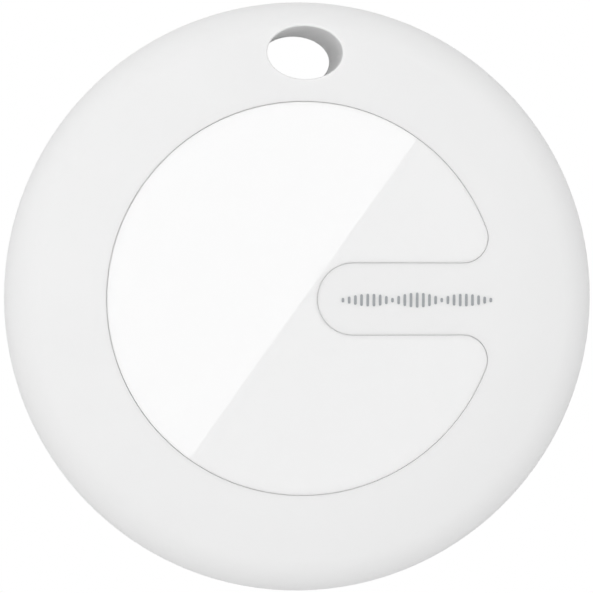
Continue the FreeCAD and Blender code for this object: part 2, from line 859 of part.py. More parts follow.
def switch_cover():
    side = switch_side
    plate = block(switch_x, switch_y, switch_body_top, side, side, switch_cover_thickness)
    plate = plate.makeFillet(switch_corner, upright_edges(plate, switch_cover_thickness))
    plate = plate.cut(disc(plunger_radius + fit_gap, 0, case_thickness, switch_x, switch_y))
    ear_x = (side + switch_cover_thickness) / 2
    ear_bottom = board_top + switch_ear_lift
    ear_height = switch_body_top + switch_cover_thickness - ear_bottom
    sheet = switch_cover_thickness
    ears = [
        block(switch_x + end * ear_x, switch_y, ear_bottom, sheet, switch_ear_width, ear_height)
        for end in (-1, 1)
    ]
    return fused(plate, ears)


# ---------------------------------------------------------------- electronic parts on the board
def package(x, y, size, edge=package_edge, degrees=0.0):
    """A part's body standing on the board, with its top edge chamfered."""
    length, width, height = size
    body = block(0, 0, board_top, length, width, height)
    return placed(body.makeChamfer(edge, edges_at(body, board_top + height)), x, y, degrees)


def small_parts(places, size):
    return Part.makeCompound([package(x, y, size, small_part_edge, turn) for x, y, turn in places])


def row(x, y, step_x, step_y, count, degrees=0.0):
    """Places of small parts in a row, each with its turn."""
    return [(x + i * step_x, y + i * step_y, degrees) for i in range(count)]


def bluetooth_chip():
    body = package(chip_x, chip_y, (chip_side, chip_side, chip_height))
    from_middle = chip_side / 2 - chip_dot_inset
    top = board_top + chip_height
    dot = disc(chip_dot_radius, top - chip_dot_depth, top + PAST, chip_x - from_middle, chip_y + from_middle)
    return body.cut(dot)


def motion_sensor():
    return package(sensor_x, sensor_y, (sensor_side, sensor_side, sensor_height))


def main_crystal():
    return package(main_crystal_x, main_crystal_y, main_crystal_size)


def clock_crystal():
    return package(clock_crystal_x, clock_crystal_y, clock_crystal_size)


def capacitors():
    beside_chip = row(1.6, -4.4, 0, -small_part_pitch, 3)
    antenna_match = [(8.6, -3.0, 90), (9.2, -5.2, 90)]
    near_sensor = row(3.6, 6.2, 0, small_part_pitch, 2)
    near_switch = row(-8.6, -2.8, -small_part_pitch, 0, 2, 90)
    return small_parts(beside_chip + antenna_match + near_sensor + near_switch, capacitor_size)


def resistors():
    beside_chip = row(-0.6, -5.0, 0, -small_part_pitch, 2)
    near_sensor = [(3.2, 8.8, 0), (8.2, 4.0, 0)]
    near_sounder = [(-7.2, -6.0, 45), (-6.2, -7.0, 45)]
    return small_parts(beside_chip + near_sensor + near_sounder, resistor_size)


def inductors():
    return small_parts([(-10.6, -0.6, 90), (-9.0, -5.4, 60)], inductor_size)


def antenna_strip():
    """A stamped antenna that stands on two feet along the board's edge."""
    sheet = 2 * spring_sheet
    outer = board_radius - antenna_inset
    lift = board_top + antenna_lift
    top = ring_ceiling - antenna_headroom
    blade = sector(outer - sheet, outer, lift, top, antenna_middle, antenna_sweep)
    feet = [
        sector(outer - sheet, outer, board_top, lift + sheet, angle, antenna_foot_angle)
        for angle in antenna_foot_places
    ]
    return fused(blade, feet)


# ---------------------------------------------------------------- everything
pieces = [
    front_shell,
    rear_shell,
    case_gasket,
    face_panel,
    button_gasket,
    press_pad,
    sounder_adhesive,
    sounder_plate,
    sounder_ceramic,
    sounder_contacts,
    battery_door,
    door_seal,
    battery_can,
    battery_gasket,
    battery_cap,
    battery_cathode,
    battery_separator,
    battery_anode,
    battery_holder,
    positive_contact,
    negative_contact,
    circuit_board,
    board_screws,
    switch_base,
    switch_dome,
    switch_plunger,
    switch_cover,
    bluetooth_chip,
    motion_sensor,
    main_crystal,
    clock_crystal,
    capacitors,
    resistors,
    inductors,
    antenna_strip,
]

os.makedirs("parts", exist_ok=True)
for piece in pieces:
    shape = piece()
    shape.exportStep(os.path.join("parts", piece.__name__ + ".step"))
    sound = "sound" if shape.isValid() else "NOT SOUND"
    print(f"{piece.__name__:20s} {len(shape.Solids)} solids  {shape.Volume:9.3f} mm3  {sound}")
print(f"case {2 * case_radius:.2f} x {case_thickness:.2f} mm, keyring hole at y {hole_centre_y:.2f}")
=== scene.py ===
import json
import math

import bpy
from mathutils import Matrix, Vector


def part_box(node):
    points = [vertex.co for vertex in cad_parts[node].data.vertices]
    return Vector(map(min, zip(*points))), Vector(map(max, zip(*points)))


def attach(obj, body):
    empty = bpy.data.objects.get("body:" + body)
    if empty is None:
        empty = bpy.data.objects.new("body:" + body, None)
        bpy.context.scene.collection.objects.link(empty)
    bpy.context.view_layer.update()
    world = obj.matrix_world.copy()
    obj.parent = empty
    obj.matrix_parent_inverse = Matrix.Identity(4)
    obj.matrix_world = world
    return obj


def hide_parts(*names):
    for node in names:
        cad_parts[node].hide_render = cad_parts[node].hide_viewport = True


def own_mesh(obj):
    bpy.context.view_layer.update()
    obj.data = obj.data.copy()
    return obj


# Key-finder tag: satin white case with a glossy press panel, lying face up on a white table.
# Metres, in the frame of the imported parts: +Z out of the face, +Y to the keyring hole.

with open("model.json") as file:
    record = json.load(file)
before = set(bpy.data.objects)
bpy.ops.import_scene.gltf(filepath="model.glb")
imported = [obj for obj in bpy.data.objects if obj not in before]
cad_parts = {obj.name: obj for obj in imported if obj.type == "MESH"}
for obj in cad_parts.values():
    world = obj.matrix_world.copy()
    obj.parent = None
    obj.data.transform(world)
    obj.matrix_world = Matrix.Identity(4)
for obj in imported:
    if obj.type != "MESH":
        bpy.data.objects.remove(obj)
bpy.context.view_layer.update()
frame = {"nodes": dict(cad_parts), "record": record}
mm = 0.001
mergeDistance = 0.001 * mm  # corners closer than this are one corner
facing = 0.99               # how much of a normal lies along an axis, on a face that faces that way
easedSteps = 2              # facets across a small rounded edge
nodes = frame["nodes"]
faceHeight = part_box("front_shell")[1].z
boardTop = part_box("circuit_board")[1].z
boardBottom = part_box("circuit_board")[0].z
print("frame loaded:", len(nodes), "parts")


# Helpers for finishes

def linear(hexColour):
    # sRGB hex to the linear colour that the shaders want
    channels = [int(hexColour[i:i + 2], 16) / 255 for i in (1, 3, 5)]
    return [c / 12.92 if c <= 0.04045 else ((c + 0.055) / 1.055) ** 2.4 for c in channels] + [1.0]


def addNode(tree, kind, sockets=None, **settings):
    # sockets holds a value or another node's output for each input
    node = tree.nodes.new(kind)
    for name, value in settings.items():
        setattr(node, name, value)
    for key, value in (sockets or {}).items():
        if isinstance(value, bpy.types.NodeSocket):
            tree.links.new(value, node.inputs[key])
        else:
            node.inputs[key].default_value = value
    return node


def newMaterial(name):
    # an empty material, its node tree, and the Object coordinates that every pattern here reads
    material = bpy.data.materials.new(name)
    material.use_nodes = True
    tree = material.node_tree
    tree.nodes.clear()
    return material, tree, addNode(tree, "ShaderNodeTexCoord").outputs["Object"]


def closeMaterial(tree, shader):
    addNode(tree, "ShaderNodeOutputMaterial", {"Surface": shader.outputs["BSDF"]})


def size(millimetres):
    # a pattern's Scale for features of this size on Object coordinates
    return 1 / (millimetres * mm)


def tintBy(tree, amount, look):
    # The finish's colour, turning to its shade as the amount goes from 0 to 1.
    # A Mix node's sockets 6 and 7 are its two colours, and its output 2 is the mixed one.
    mixed = addNode(tree, "ShaderNodeMix", {
        0: amount, 6: linear(look["colour"]), 7: linear(look["shade"])}, data_type="RGBA")
    return mixed.outputs[2]


noiseLow = 0.3              # nearly all of a noise lies between these two
noiseHigh = 0.7


def roughnessBy(tree, amount, look):
    # the finish's roughness, a little less or more as the amount varies
    spread = look["roughnessSpread"]
    spanned = addNode(tree, "ShaderNodeMapRange", {
        "Value": amount, "From Min": noiseLow, "From Max": noiseHigh,
        "To Min": look["roughness"] - spread, "To Max": look["roughness"] + spread})
    return spanned.outputs["Result"]


def bumpBy(tree, height, depthMm):
    bump = addNode(tree, "ShaderNodeBump", {"Height": height, "Distance": depthMm * mm})
    return bump.outputs["Normal"]


# Families of finish

softDetail = 2.0            # octaves of a noise for clouds and films
fineDetail = 3.0            # and for grain and lines


def mouldedPlastic(name, look):
    # injection moulding: an even colour with a faint cloudiness, and the fine grain of the mould's steel
    material, tree, place = newMaterial(name)
    cloud = addNode(tree, "ShaderNodeTexNoise", {
        "Vector": place, "Scale": size(look["cloudMm"]), "Detail": softDetail}).outputs["Fac"]
    grain = addNode(tree, "ShaderNodeTexNoise", {
        "Vector": place, "Scale": size(look["grainMm"]), "Detail": fineDetail}).outputs["Fac"]
    shader = addNode(tree, "ShaderNodeBsdfPrincipled", {
        "Base Color": tintBy(tree, cloud, look),
        "Roughness": roughnessBy(tree, cloud, look),
        "IOR": look["ior"],
        "Normal": bumpBy(tree, grain, look["grainDepthMm"])})
    if "milkMm" in look:
        # light goes a little way into the plastic and comes out beside where it went in
        shader.inputs["Subsurface Weight"].default_value = 1.0
        shader.inputs["Subsurface Radius"].default_value = (1, 1, 1)
        shader.inputs["Subsurface Scale"].default_value = look["milkMm"] * mm
    closeMaterial(tree, shader)
    return material


def workedMetal(name, look):
    # rolled, drawn or plated metal: fine lines one way that stretch the highlights, dulled by handling
    material, tree, place = newMaterial(name)
    along = addNode(tree, "ShaderNodeMapping", {"Vector": place, "Scale": look["stretch"]}).outputs["Vector"]
    lines = addNode(tree, "ShaderNodeTexNoise", {
        "Vector": along, "Scale": size(look["lineMm"]), "Detail": fineDetail}).outputs["Fac"]
    film = addNode(tree, "ShaderNodeTexNoise", {
        "Vector": place, "Scale": size(look["filmMm"]), "Detail": softDetail}).outputs["Fac"]
    shader = addNode(tree, "ShaderNodeBsdfPrincipled", {
        "Base Color": tintBy(tree, film, look),
        "Metallic": 1.0,
        "Roughness": roughnessBy(tree, film, look),
        "Normal": bumpBy(tree, lines, look["lineDepthMm"])})
    closeMaterial(tree, shader)
    return material


def grainedSolid(name, look):
    # sintered, pressed or cast bodies: speckled grains with a dry, slightly uneven face
    material, tree, place = newMaterial(name)
    grains = addNode(tree, "ShaderNodeTexVoronoi", {"Vector": place, "Scale": size(look["grainMm"])})
    tone = addNode(tree, "ShaderNodeSeparateColor", {"Color": grains.outputs["Color"]}).outputs["Red"]
    shader = addNode(tree, "ShaderNodeBsdfPrincipled", {
        "Base Color": tintBy(tree, tone, look),
        "Roughness": roughnessBy(tree, tone, look),
        "IOR": look["ior"],
        "Normal": bumpBy(tree, grains.outputs["Distance"], look["grainDepthMm"])})
    closeMaterial(tree, shader)
    return material


bandLength = 2 * math.pi / 20   # of a Wave texture at Scale 1: its phase runs 20 times as fast as its place


def solderMaskedLaminate(look):
    # Glass-epoxy board under green lacquer: copper under it shows as a lighter green, raised a little.
    # Each region of the board is either poured all over or filled with tracks that run one of two ways.
    material, tree, place = newMaterial("solderMaskedLaminate")
    regions = addNode(tree, "ShaderNodeTexVoronoi", {"Vector": place, "Scale": size(look["regionMm"])})
    pick = addNode(tree, "ShaderNodeSeparateColor", {"Color": regions.outputs["Color"]})
    tracks = []
    for axis in ("X", "Y"):
        waves = addNode(tree, "ShaderNodeTexWave", {
            "Vector": place, "Scale": size(look["trackMm"]) * bandLength, "Distortion": 0.0},
            bands_direction=axis, wave_profile="SIN")
        tracks.append(addNode(tree, "ShaderNodeMath", {
            0: waves.outputs["Fac"], 1: look["trackLevel"]}, operation="GREATER_THAN"))
    turned = addNode(tree, "ShaderNodeMath", {
        0: pick.outputs["Red"], 1: look["turnLevel"]}, operation="GREATER_THAN")
    routed = addNode(tree, "ShaderNodeMix", {
        0: turned.outputs["Value"], 2: tracks[0].outputs["Value"], 3: tracks[1].outputs["Value"]})
    poured = addNode(tree, "ShaderNodeMath", {
        0: pick.outputs["Green"], 1: look["pourLevel"]}, operation="GREATER_THAN")
    copper = addNode(tree, "ShaderNodeMath", {
        0: routed.outputs[0], 1: poured.outputs["Value"]}, operation="MAXIMUM").outputs["Value"]
    lacquer = addNode(tree, "ShaderNodeTexNoise", {
        "Vector": place, "Scale": size(look["lacquerMm"])}).outputs["Fac"]
    shader = addNode(tree, "ShaderNodeBsdfPrincipled", {
        "Base Color": tintBy(tree, copper, look),
        "Roughness": roughnessBy(tree, lacquer, look),
        "IOR": look["ior"],
        "Normal": bumpBy(tree, copper, look["copperMm"])})
    closeMaterial(tree, shader)
    return material


def laidFleece(look):
    # non-woven fleece: fine fibres laid both ways, so it is matt and lightly streaked
    material, tree, place = newMaterial("laidPolypropyleneFleece")
    layers = []
    for stretch in ((look["fibreStretch"], 1.0, 1.0), (1.0, look["fibreStretch"], 1.0)):
        along = addNode(tree, "ShaderNodeMapping", {"Vector": place, "Scale": stretch})
        layers.append(addNode(tree, "ShaderNodeTexNoise", {
            "Vector": along.outputs["Vector"], "Scale": size(look["fibreMm"]), "Detail": softDetail}))
    fibres = addNode(tree, "ShaderNodeMath", {
        0: layers[0].outputs["Fac"], 1: layers[1].outputs["Fac"]}, operation="MAXIMUM").outputs["Value"]
    shader = addNode(tree, "ShaderNodeBsdfPrincipled", {
        "Base Color": tintBy(tree, fibres, look),
        "Roughness": roughnessBy(tree, fibres, look),
        "Sheen Weight": look["sheen"],
        "Normal": bumpBy(tree, fibres, look["fibreMm"])})
    closeMaterial(tree, shader)
    return material


# The finishes themselves, each named for its material and how it was made

# White ABS from a spark-eroded mould: soft wide highlights, no mirror image and a faint, dry grain.
# Such grain is about 0.03 mm, and drawn at 0.12 mm, or it would not show at all.
absCase = mouldedPlastic("satinWhiteAbs", {
    "colour": "#F1F1F1", "shade": "#EFEFEF", "cloudMm": 9.0, "grainMm": 0.12, "grainDepthMm": 0.0006,
    "roughness": 0.48, "roughnessSpread": 0.04, "ior": 1.54, "milkMm": 0.25})

# White polycarbonate from a polished mould: a clear mirror image of the lamps over a milky body.
polishedPanel = mouldedPlastic("polishedWhitePolycarbonate", {
    "colour": "#F9F9F9", "shade": "#F8F8F8", "cloudMm": 12.0, "grainMm": 2.5, "grainDepthMm": 0.00001,
    "roughness": 0.006, "roughnessSpread": 0.002, "ior": 1.585, "milkMm": 0.25})

# Black silicone from a blasted mould: dull, with a dusty bloom that keeps it from going fully black.
siliconeSeal = mouldedPlastic("mouldedBlackSilicone", {
    "colour": "#191A1C", "shade": "#232427", "cloudMm": 1.5, "grainMm": 0.06, "grainDepthMm": 0.004,
    "roughness": 0.66, "roughnessSpread": 0.08, "ior": 1.43})

# Closed-cell silicone foam: dark grey and matt, with small open pits where the cells were cut.
foamRubber = grainedSolid("closedCellSiliconeFoam", {
    "colour": "#232528", "shade": "#34373B", "grainMm": 0.14, "grainDepthMm": 0.03,
    "roughness": 0.82, "roughnessSpread": 0.06, "ior": 1.43})

# Acrylic foam tape, cast as a film: pale, cloudy and a little tacky-looking, with tiny bubbles.
acrylicTape = mouldedPlastic("castAcrylicTape", {
    "colour": "#D6D5CB", "shade": "#C7C5B8", "cloudMm": 0.8, "grainMm": 0.15, "grainDepthMm": 0.01,
    "roughness": 0.38, "roughnessSpread": 0.08, "ior": 1.47, "milkMm": 0.2})

# Rolled brass sheet: warm yellow with straight rolling lines and a light tarnish.
brassSheet = workedMetal("rolledBrass", {
    "colour": "#D8B46A", "shade": "#C29A50", "stretch": (0.04, 1.0, 1.0), "lineMm": 0.05,
    "lineDepthMm": 0.0015, "filmMm": 2.2, "roughness": 0.26, "roughnessSpread": 0.06})

# Piezo ceramic with a fired silver coat: dry and pale, with the coat's screen-printed mottle.
silveredCeramic = grainedSolid("silveredPiezoCeramic", {
    "colour": "#DAD8D0", "shade": "#C9C6BC", "grainMm": 0.09, "grainDepthMm": 0.002,
    "roughness": 0.44, "roughnessSpread": 0.06, "ior": 1.9})

# Spring bronze with a bright nickel coat: greyish and clean, lines along the strip.
nickelBronze = workedMetal("nickelPlatedBronze", {
    "colour": "#CFC8BA", "shade": "#BDB4A3", "stretch": (0.05, 1.0, 1.0), "lineMm": 0.04,
    "lineDepthMm": 0.001, "filmMm": 1.2, "roughness": 0.24, "roughnessSpread": 0.05})

# Deep-drawn nickel-plated steel: neutral grey, softly brushed by the drawing, with handling smudges.
drawnCell = workedMetal("drawnNickelSteel", {
    "colour": "#CBCCCD", "shade": "#B9BABC", "stretch": (1.0, 0.05, 1.0), "lineMm": 0.05,
    "lineDepthMm": 0.0012, "filmMm": 4.0, "roughness": 0.27, "roughnessSpread": 0.06})

# Moulded polypropylene seal of the cell: waxy dark grey.
cellSeal = mouldedPlastic("mouldedPolypropylene", {
    "colour": "#3B3C41", "shade": "#44454A", "cloudMm": 1.0, "grainMm": 0.05, "grainDepthMm": 0.001,
    "roughness": 0.42, "roughnessSpread": 0.05, "ior": 1.49})

# Pressed oxide powder: nearly black, matt, with grains that can just be told apart.
oxidePellet = grainedSolid("pressedOxidePellet", {
    "colour": "#161517", "shade": "#2A292C", "grainMm": 0.11, "grainDepthMm": 0.012,
    "roughness": 0.86, "roughnessSpread": 0.06, "ior": 1.6})

# Fibres thinner than 0.02 mm, drawn at 0.05 mm so that the streaks show.
cellFleece = laidFleece({
    "colour": "#E6E5DF", "shade": "#CFCDC5", "fibreMm": 0.05, "fibreStretch": 0.08, "sheen": 0.3,
    "roughness": 0.88, "roughnessSpread": 0.05})

# Soft rolled lithium: silvery when fresh, with a dull bluish film that forms at once.
lithiumFoil = workedMetal("rolledLithium", {
    "colour": "#BDC0C6", "shade": "#9EA2AA", "stretch": (0.1, 1.0, 1.0), "lineMm": 0.12,
    "lineDepthMm": 0.003, "filmMm": 1.6, "roughness": 0.46, "roughnessSpread": 0.1})

# Glass-filled nylon: black, with short glass fibres that leave a rough, greyish face.
filledNylon = mouldedPlastic("mouldedGlassFilledNylon", {
    "colour": "#121213", "shade": "#1E1E20", "cloudMm": 0.5, "grainMm": 0.09, "grainDepthMm": 0.008,
    "roughness": 0.58, "roughnessSpread": 0.08, "ior": 1.53})

# The copper under the lacquer is 0.035 mm thick. Real tracks are 0.15 mm wide, drawn 0.37 mm to show.
# A spot is track, and a region is turned or poured, where its wavy or random level passes the one given.
greenBoard = solderMaskedLaminate({
    "colour": "#0E4A26", "shade": "#1C6B38", "regionMm": 3.2, "trackMm": 0.8, "copperMm": 0.035,
    "trackLevel": 0.55, "turnLevel": 0.5, "pourLevel": 0.45,
    "lacquerMm": 1.5, "roughness": 0.3, "roughnessSpread": 0.06, "ior": 1.52})

# Zinc-plated steel, cold-headed: bluish grey, slightly patchy.
zincScrew = workedMetal("zincPlatedSteel", {
    "colour": "#A9AEB6", "shade": "#8E939B", "stretch": (1.0, 1.0, 0.2), "lineMm": 0.06,
    "lineDepthMm": 0.002, "filmMm": 0.4, "roughness": 0.36, "roughnessSpread": 0.08})

# Moulded polyamide of the switch: black, even and slightly glossy.
switchNylon = mouldedPlastic("mouldedPolyamide", {
    "colour": "#101113", "shade": "#17181A", "cloudMm": 0.6, "grainMm": 0.05, "grainDepthMm": 0.001,
    "roughness": 0.4, "roughnessSpread": 0.05, "ior": 1.53})

# Stamped stainless sheet: bright neutral grey, with lines one way and soft corners.
stainlessSheet = workedMetal("stampedStainless", {
    "colour": "#C3C4C4", "shade": "#B1B2B3", "stretch": (0.05, 1.0, 1.0), "lineMm": 0.04,
    "lineDepthMm": 0.001, "filmMm": 0.9, "roughness": 0.25, "roughnessSpread": 0.05})

# Transfer-moulded epoxy: charcoal, with silica grains that make it look finely sanded.
chipEpoxy = grainedSolid("transferMouldedEpoxy", {
    "colour": "#1A1B1D", "shade": "#26272A", "grainMm": 0.05, "grainDepthMm": 0.003,
    "roughness": 0.56, "roughnessSpread": 0.06, "ior": 1.55})

# Nickel-plated lid of a crystal, stamped: pale warm grey, and the brightest thing on the board.
crystalLid = workedMetal("platedKovarLid", {
    "colour": "#D2CDBF", "shade": "#C2BBA9", "stretch": (0.06, 1.0, 1.0), "lineMm": 0.05,
    "lineDepthMm": 0.0008, "filmMm": 0.8, "roughness": 0.22, "roughnessSpread": 0.05})

# Fired titanate ceramic of the capacitors: tan, dense and faintly glossy.
tanCeramic = grainedSolid("firedTitanateCeramic", {
    "colour": "#A9805A", "shade": "#96704C", "grainMm": 0.04, "grainDepthMm": 0.001,
    "roughness": 0.36, "roughnessSpread": 0.05, "ior": 1.9})

# Black glaze fired on alumina: glassy and even.
resistorGlaze = grainedSolid("glazedAlumina", {
    "colour": "#0F1012", "shade": "#16171A", "grainMm": 0.08, "grainDepthMm": 0.0008,
    "roughness": 0.2, "roughnessSpread": 0.04, "ior": 1.52})

# Sintered ferrite: dark grey, dry and finely pitted.
inductorFerrite = grainedSolid("sinteredFerrite", {
    "colour": "#2B2B2E", "shade": "#38383C", "grainMm": 0.07, "grainDepthMm": 0.005,
    "roughness": 0.62, "roughnessSpread": 0.06, "ior": 1.8})

# Tin-plated steel strip: soft whitish grey with cloudy patches of crystals.
tinnedStrip = workedMetal("tinPlatedSteel", {
    "colour": "#C9CAC7", "shade": "#B4B6B4", "stretch": (0.4, 1.0, 1.0), "lineMm": 0.2,
    "lineDepthMm": 0.002, "filmMm": 0.5, "roughness": 0.33, "roughnessSpread": 0.08})

# Solder that was reflowed: bright and rounded, a little grainy where it froze.
reflowedSolder = workedMetal("reflowedSolder", {
    "colour": "#CDCFD2", "shade": "#BCBFC3", "stretch": (1.0, 1.0, 1.0), "lineMm": 0.06,
    "lineDepthMm": 0.003, "filmMm": 0.3, "roughness": 0.24, "roughnessSpread": 0.06})

# Immersion gold on copper: thin, even and slightly satin.
platedGold = workedMetal("immersionGold", {
    "colour": "#E3C27A", "shade": "#D6B268", "stretch": (1.0, 1.0, 1.0), "lineMm": 0.05,
    "lineDepthMm": 0.001, "filmMm": 0.6, "roughness": 0.3, "roughnessSpread": 0.05})

# Pad-printed grey ink: a thin matt film that pools slightly, so its tone wavers.
greyInk = grainedSolid("padPrintedInk", {
    "colour": "#9DA1A4", "shade": "#A4A8AB", "grainMm": 0.12, "grainDepthMm": 0.0008,
    "roughness": 0.5, "roughnessSpread": 0.05, "ior": 1.48})

finishOfSlot = {
    "case_plastic": absCase, "panel_plastic": polishedPanel, "seal_rubber": siliconeSeal,
    "adhesive_tape": acrylicTape, "sounder_brass": brassSheet, "piezo_ceramic": silveredCeramic,
    "contact_bronze": nickelBronze, "cell_steel": drawnCell, "cell_gasket_plastic": cellSeal,
    "cathode_pellet": oxidePellet, "separator_fleece": cellFleece, "anode_metal": lithiumFoil,
    "holder_plastic": filledNylon, "board_laminate": greenBoard, "screw_steel": zincScrew,
    "switch_plastic": switchNylon, "switch_steel": stainlessSheet, "chip_moulding": chipEpoxy,
    "crystal_can": crystalLid, "capacitor_ceramic": tanCeramic, "resistor_glaze": resistorGlaze,
    "inductor_ferrite": inductorFerrite, "antenna_steel": tinnedStrip,
}
for row in frame["record"]["subparts"]:
    nodes[row["node"]].material_slots[0].material = finishOfSlot[row["material_slot"]]
print("finishes on:", len(finishOfSlot))


# Helpers for modelling

def startPiece():
    # the loaded parts stay selected after loading, so nothing may be before a new piece starts
    bpy.ops.object.select_all(action="DESELECT")


def pickFaces(piece, wanted):
    # in edit mode, selects only the faces that pass a test on their centre and normal
    bpy.ops.mesh.select_mode(type="FACE")
    bpy.ops.mesh.select_all(action="DESELECT")
    bpy.ops.object.mode_set(mode="OBJECT")
    for face in piece.data.polygons:
        face.select = wanted(face.center, face.normal)
    bpy.ops.object.mode_set(mode="EDIT")


def pickCorners(piece, wanted):
    # the same for corners, by a test on their place
    bpy.ops.mesh.select_mode(type="VERT")
    bpy.ops.mesh.select_all(action="DESELECT")
    bpy.ops.object.mode_set(mode="OBJECT")
    for vertex in piece.data.vertices:
        vertex.select = wanted(vertex.co)
    bpy.ops.object.mode_set(mode="EDIT")


def copyAt(model, matrix):
    # a copy with its own mesh, which joinPiece puts in place for good
    twin = model.copy()
    twin.data = model.data.copy()
    twin.matrix_world = matrix
    bpy.context.scene.collection.objects.link(twin)
    return twin


def joinPiece(name, copies, finish, sharpDeg=35.0):
    # one finished piece from its copies: place in the mesh, smooth where round, riding on the case
    startPiece()
    for twin in copies:
        twin.select_set(True)
    bpy.context.view_layer.objects.active = copies[0]
    bpy.ops.object.join()
    piece = bpy.context.object
    bpy.ops.object.transform_apply(location=True, rotation=True, scale=True)
    bpy.ops.object.shade_smooth_by_angle(angle=math.radians(sharpDeg))
    piece.name = name
    piece.data.name = name
    piece.data.materials.clear()
    piece.data.materials.append(finish)
    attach(piece, "case")
    return piece


def discard(model):
    bpy.data.objects.remove(model, do_unlink=True)


def bodiesOf(node):
    # for each separate body of a node: its middle, the turn of its long side, its length, width and height
    mesh = nodes[node].data
    key = [tuple(round(c / mergeDistance) for c in vertex.co) for vertex in mesh.vertices]
    root = {k: k for k in key}

    def rootOf(k):
        while root[k] != k:
            root[k] = root[root[k]]
            k = root[k]
        return k

    for face in mesh.polygons:
        first = rootOf(key[face.vertices[0]])
        for index in face.vertices:
            root[rootOf(key[index])] = first
    groups = {}
    for k in root:
        groups.setdefault(rootOf(k), []).append(Vector(k) * mergeDistance)
    found = []
    for corners in groups.values():
        middle = sum(corners, Vector()) / len(corners)
        spreadX = sum((c.x - middle.x) ** 2 for c in corners)
        spreadY = sum((c.y - middle.y) ** 2 for c in corners)
        crossed = sum((c.x - middle.x) * (c.y - middle.y) for c in corners)
        turn = 0.5 * math.atan2(2 * crossed, spreadX - spreadY)
        along = Vector((math.cos(turn), math.sin(turn), 0))
        across = Vector((-math.sin(turn), math.cos(turn), 0))
        sizes = [max(c.dot(way) for c in corners) - min(c.dot(way) for c in corners)
                 for way in (along, across, Vector((0, 0, 1)))]
        found.append((middle, turn, *sizes))
    return sorted(found, key=lambda body: tuple(round(c, 6) for c in body[0]))


# Print on the tongue: a plain row of bars like a sound wave

waveLook = {
    "startX": 2.36 * mm, "endX": 12.05 * mm, "middleY": -0.07 * mm,
    "tallest": 0.96 * mm, "lowestShare": 0.3, "barWidth": 0.17 * mm, "barSides": 24,
    "bars": 25, "swells": 3,
    "quietShare": 0.55,         # how tall the row's ends swell, for its middle's 1
    "ink": 0.008 * mm, "edge": 0.003 * mm,
}


def makeInkBar(look):
    # a round dot of ink, parted across its middle so that its halves can be pulled out to the bar's height
    startPiece()
    bpy.ops.mesh.primitive_cylinder_add(
        vertices=look["barSides"], radius=look["barWidth"] / 2, depth=look["ink"])
    bar = bpy.context.object
    bpy.ops.object.mode_set(mode="EDIT")
    bpy.ops.mesh.select_all(action="SELECT")
    bpy.ops.mesh.bisect(plane_co=(0, 0, 0), plane_no=(0, 1, 0))
    pickFaces(bar, lambda centre, normal: normal.z > facing)
    bpy.ops.mesh.inset(thickness=look["edge"])
    bpy.ops.transform.translate(value=(0, 0, look["edge"] / 2))
    bpy.ops.object.mode_set(mode="OBJECT")
    return bar


def makeTonguePrint(look):
    bar = makeInkBar(look)
    copies = []
    step = (look["endX"] - look["startX"] - look["barWidth"]) / (look["bars"] - 1)
    for index in range(look["bars"]):
        share = index / (look["bars"] - 1)
        taper = look["quietShare"] + (1 - look["quietShare"]) * math.sin(math.pi * share)
        swell = abs(math.sin(math.pi * look["swells"] * share)) * taper
        height = look["tallest"] * (look["lowestShare"] + (1 - look["lowestShare"]) * swell)
        pull = max(height - look["barWidth"], 0) / 2
        x = look["startX"] + look["barWidth"] / 2 + index * step
        twin = copyAt(bar, Matrix.Translation((x, look["middleY"], faceHeight + look["ink"] / 2)))
        startPiece()
        bpy.context.view_layer.objects.active = twin
        twin.select_set(True)
        bpy.ops.object.mode_set(mode="EDIT")
        for side in (-1, 1):
            pickCorners(twin, lambda place: place.y * side > look["edge"])
            bpy.ops.transform.translate(value=(0, side * pull, 0))
        bpy.ops.object.mode_set(mode="OBJECT")
        copies.append(twin)
    discard(bar)
    joinPiece("tonguePrint", copies, greyInk)


makeTonguePrint(waveLook)
print("tongue print made")


# What gives way when the panel is pressed

foamLook = {
    "width": 0.75 * mm, "rounding": 0.22 * mm, "roundingSteps": 4, "stepsRound": 128, "sharpDeg": 60.0,
    "squeeze": 0.17 * mm,       # what it gives at full travel
}


def makeFoamRing(look):
    # closed-cell foam under the panel's flange: a rounded section swept once round the axis
    low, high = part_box("button_gasket")
    startPiece()
    bpy.ops.mesh.primitive_plane_add(size=1)
    ring = bpy.context.object
    bpy.ops.object.mode_set(mode="EDIT")
    bpy.ops.mesh.select_all(action="SELECT")
    bpy.ops.transform.resize(value=(look["width"], high.z - low.z, 1), center_override=(0, 0, 0))
    bpy.ops.mesh.bevel(offset=look["rounding"], segments=look["roundingSteps"], affect="VERTICES")
    bpy.ops.transform.rotate(value=math.pi / 2, orient_axis="X", center_override=(0, 0, 0))
    bpy.ops.transform.translate(value=(high.x - look["width"] / 2, 0, (low.z + high.z) / 2))
    bpy.ops.mesh.delete(type="ONLY_FACE")
    bpy.ops.mesh.select_all(action="SELECT")
    bpy.ops.mesh.spin(steps=look["stepsRound"], angle=2 * math.pi, center=(0, 0, 0), axis=(0, 0, 1))
    bpy.ops.mesh.select_all(action="SELECT")
    bpy.ops.mesh.remove_doubles(threshold=mergeDistance)
    bpy.ops.mesh.normals_make_consistent(inside=False)
    bpy.ops.object.mode_set(mode="OBJECT")
    ring = joinPiece("foamRing", [ring], foamRubber, sharpDeg=look["sharpDeg"])
    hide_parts("button_gasket")
    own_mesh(ring)


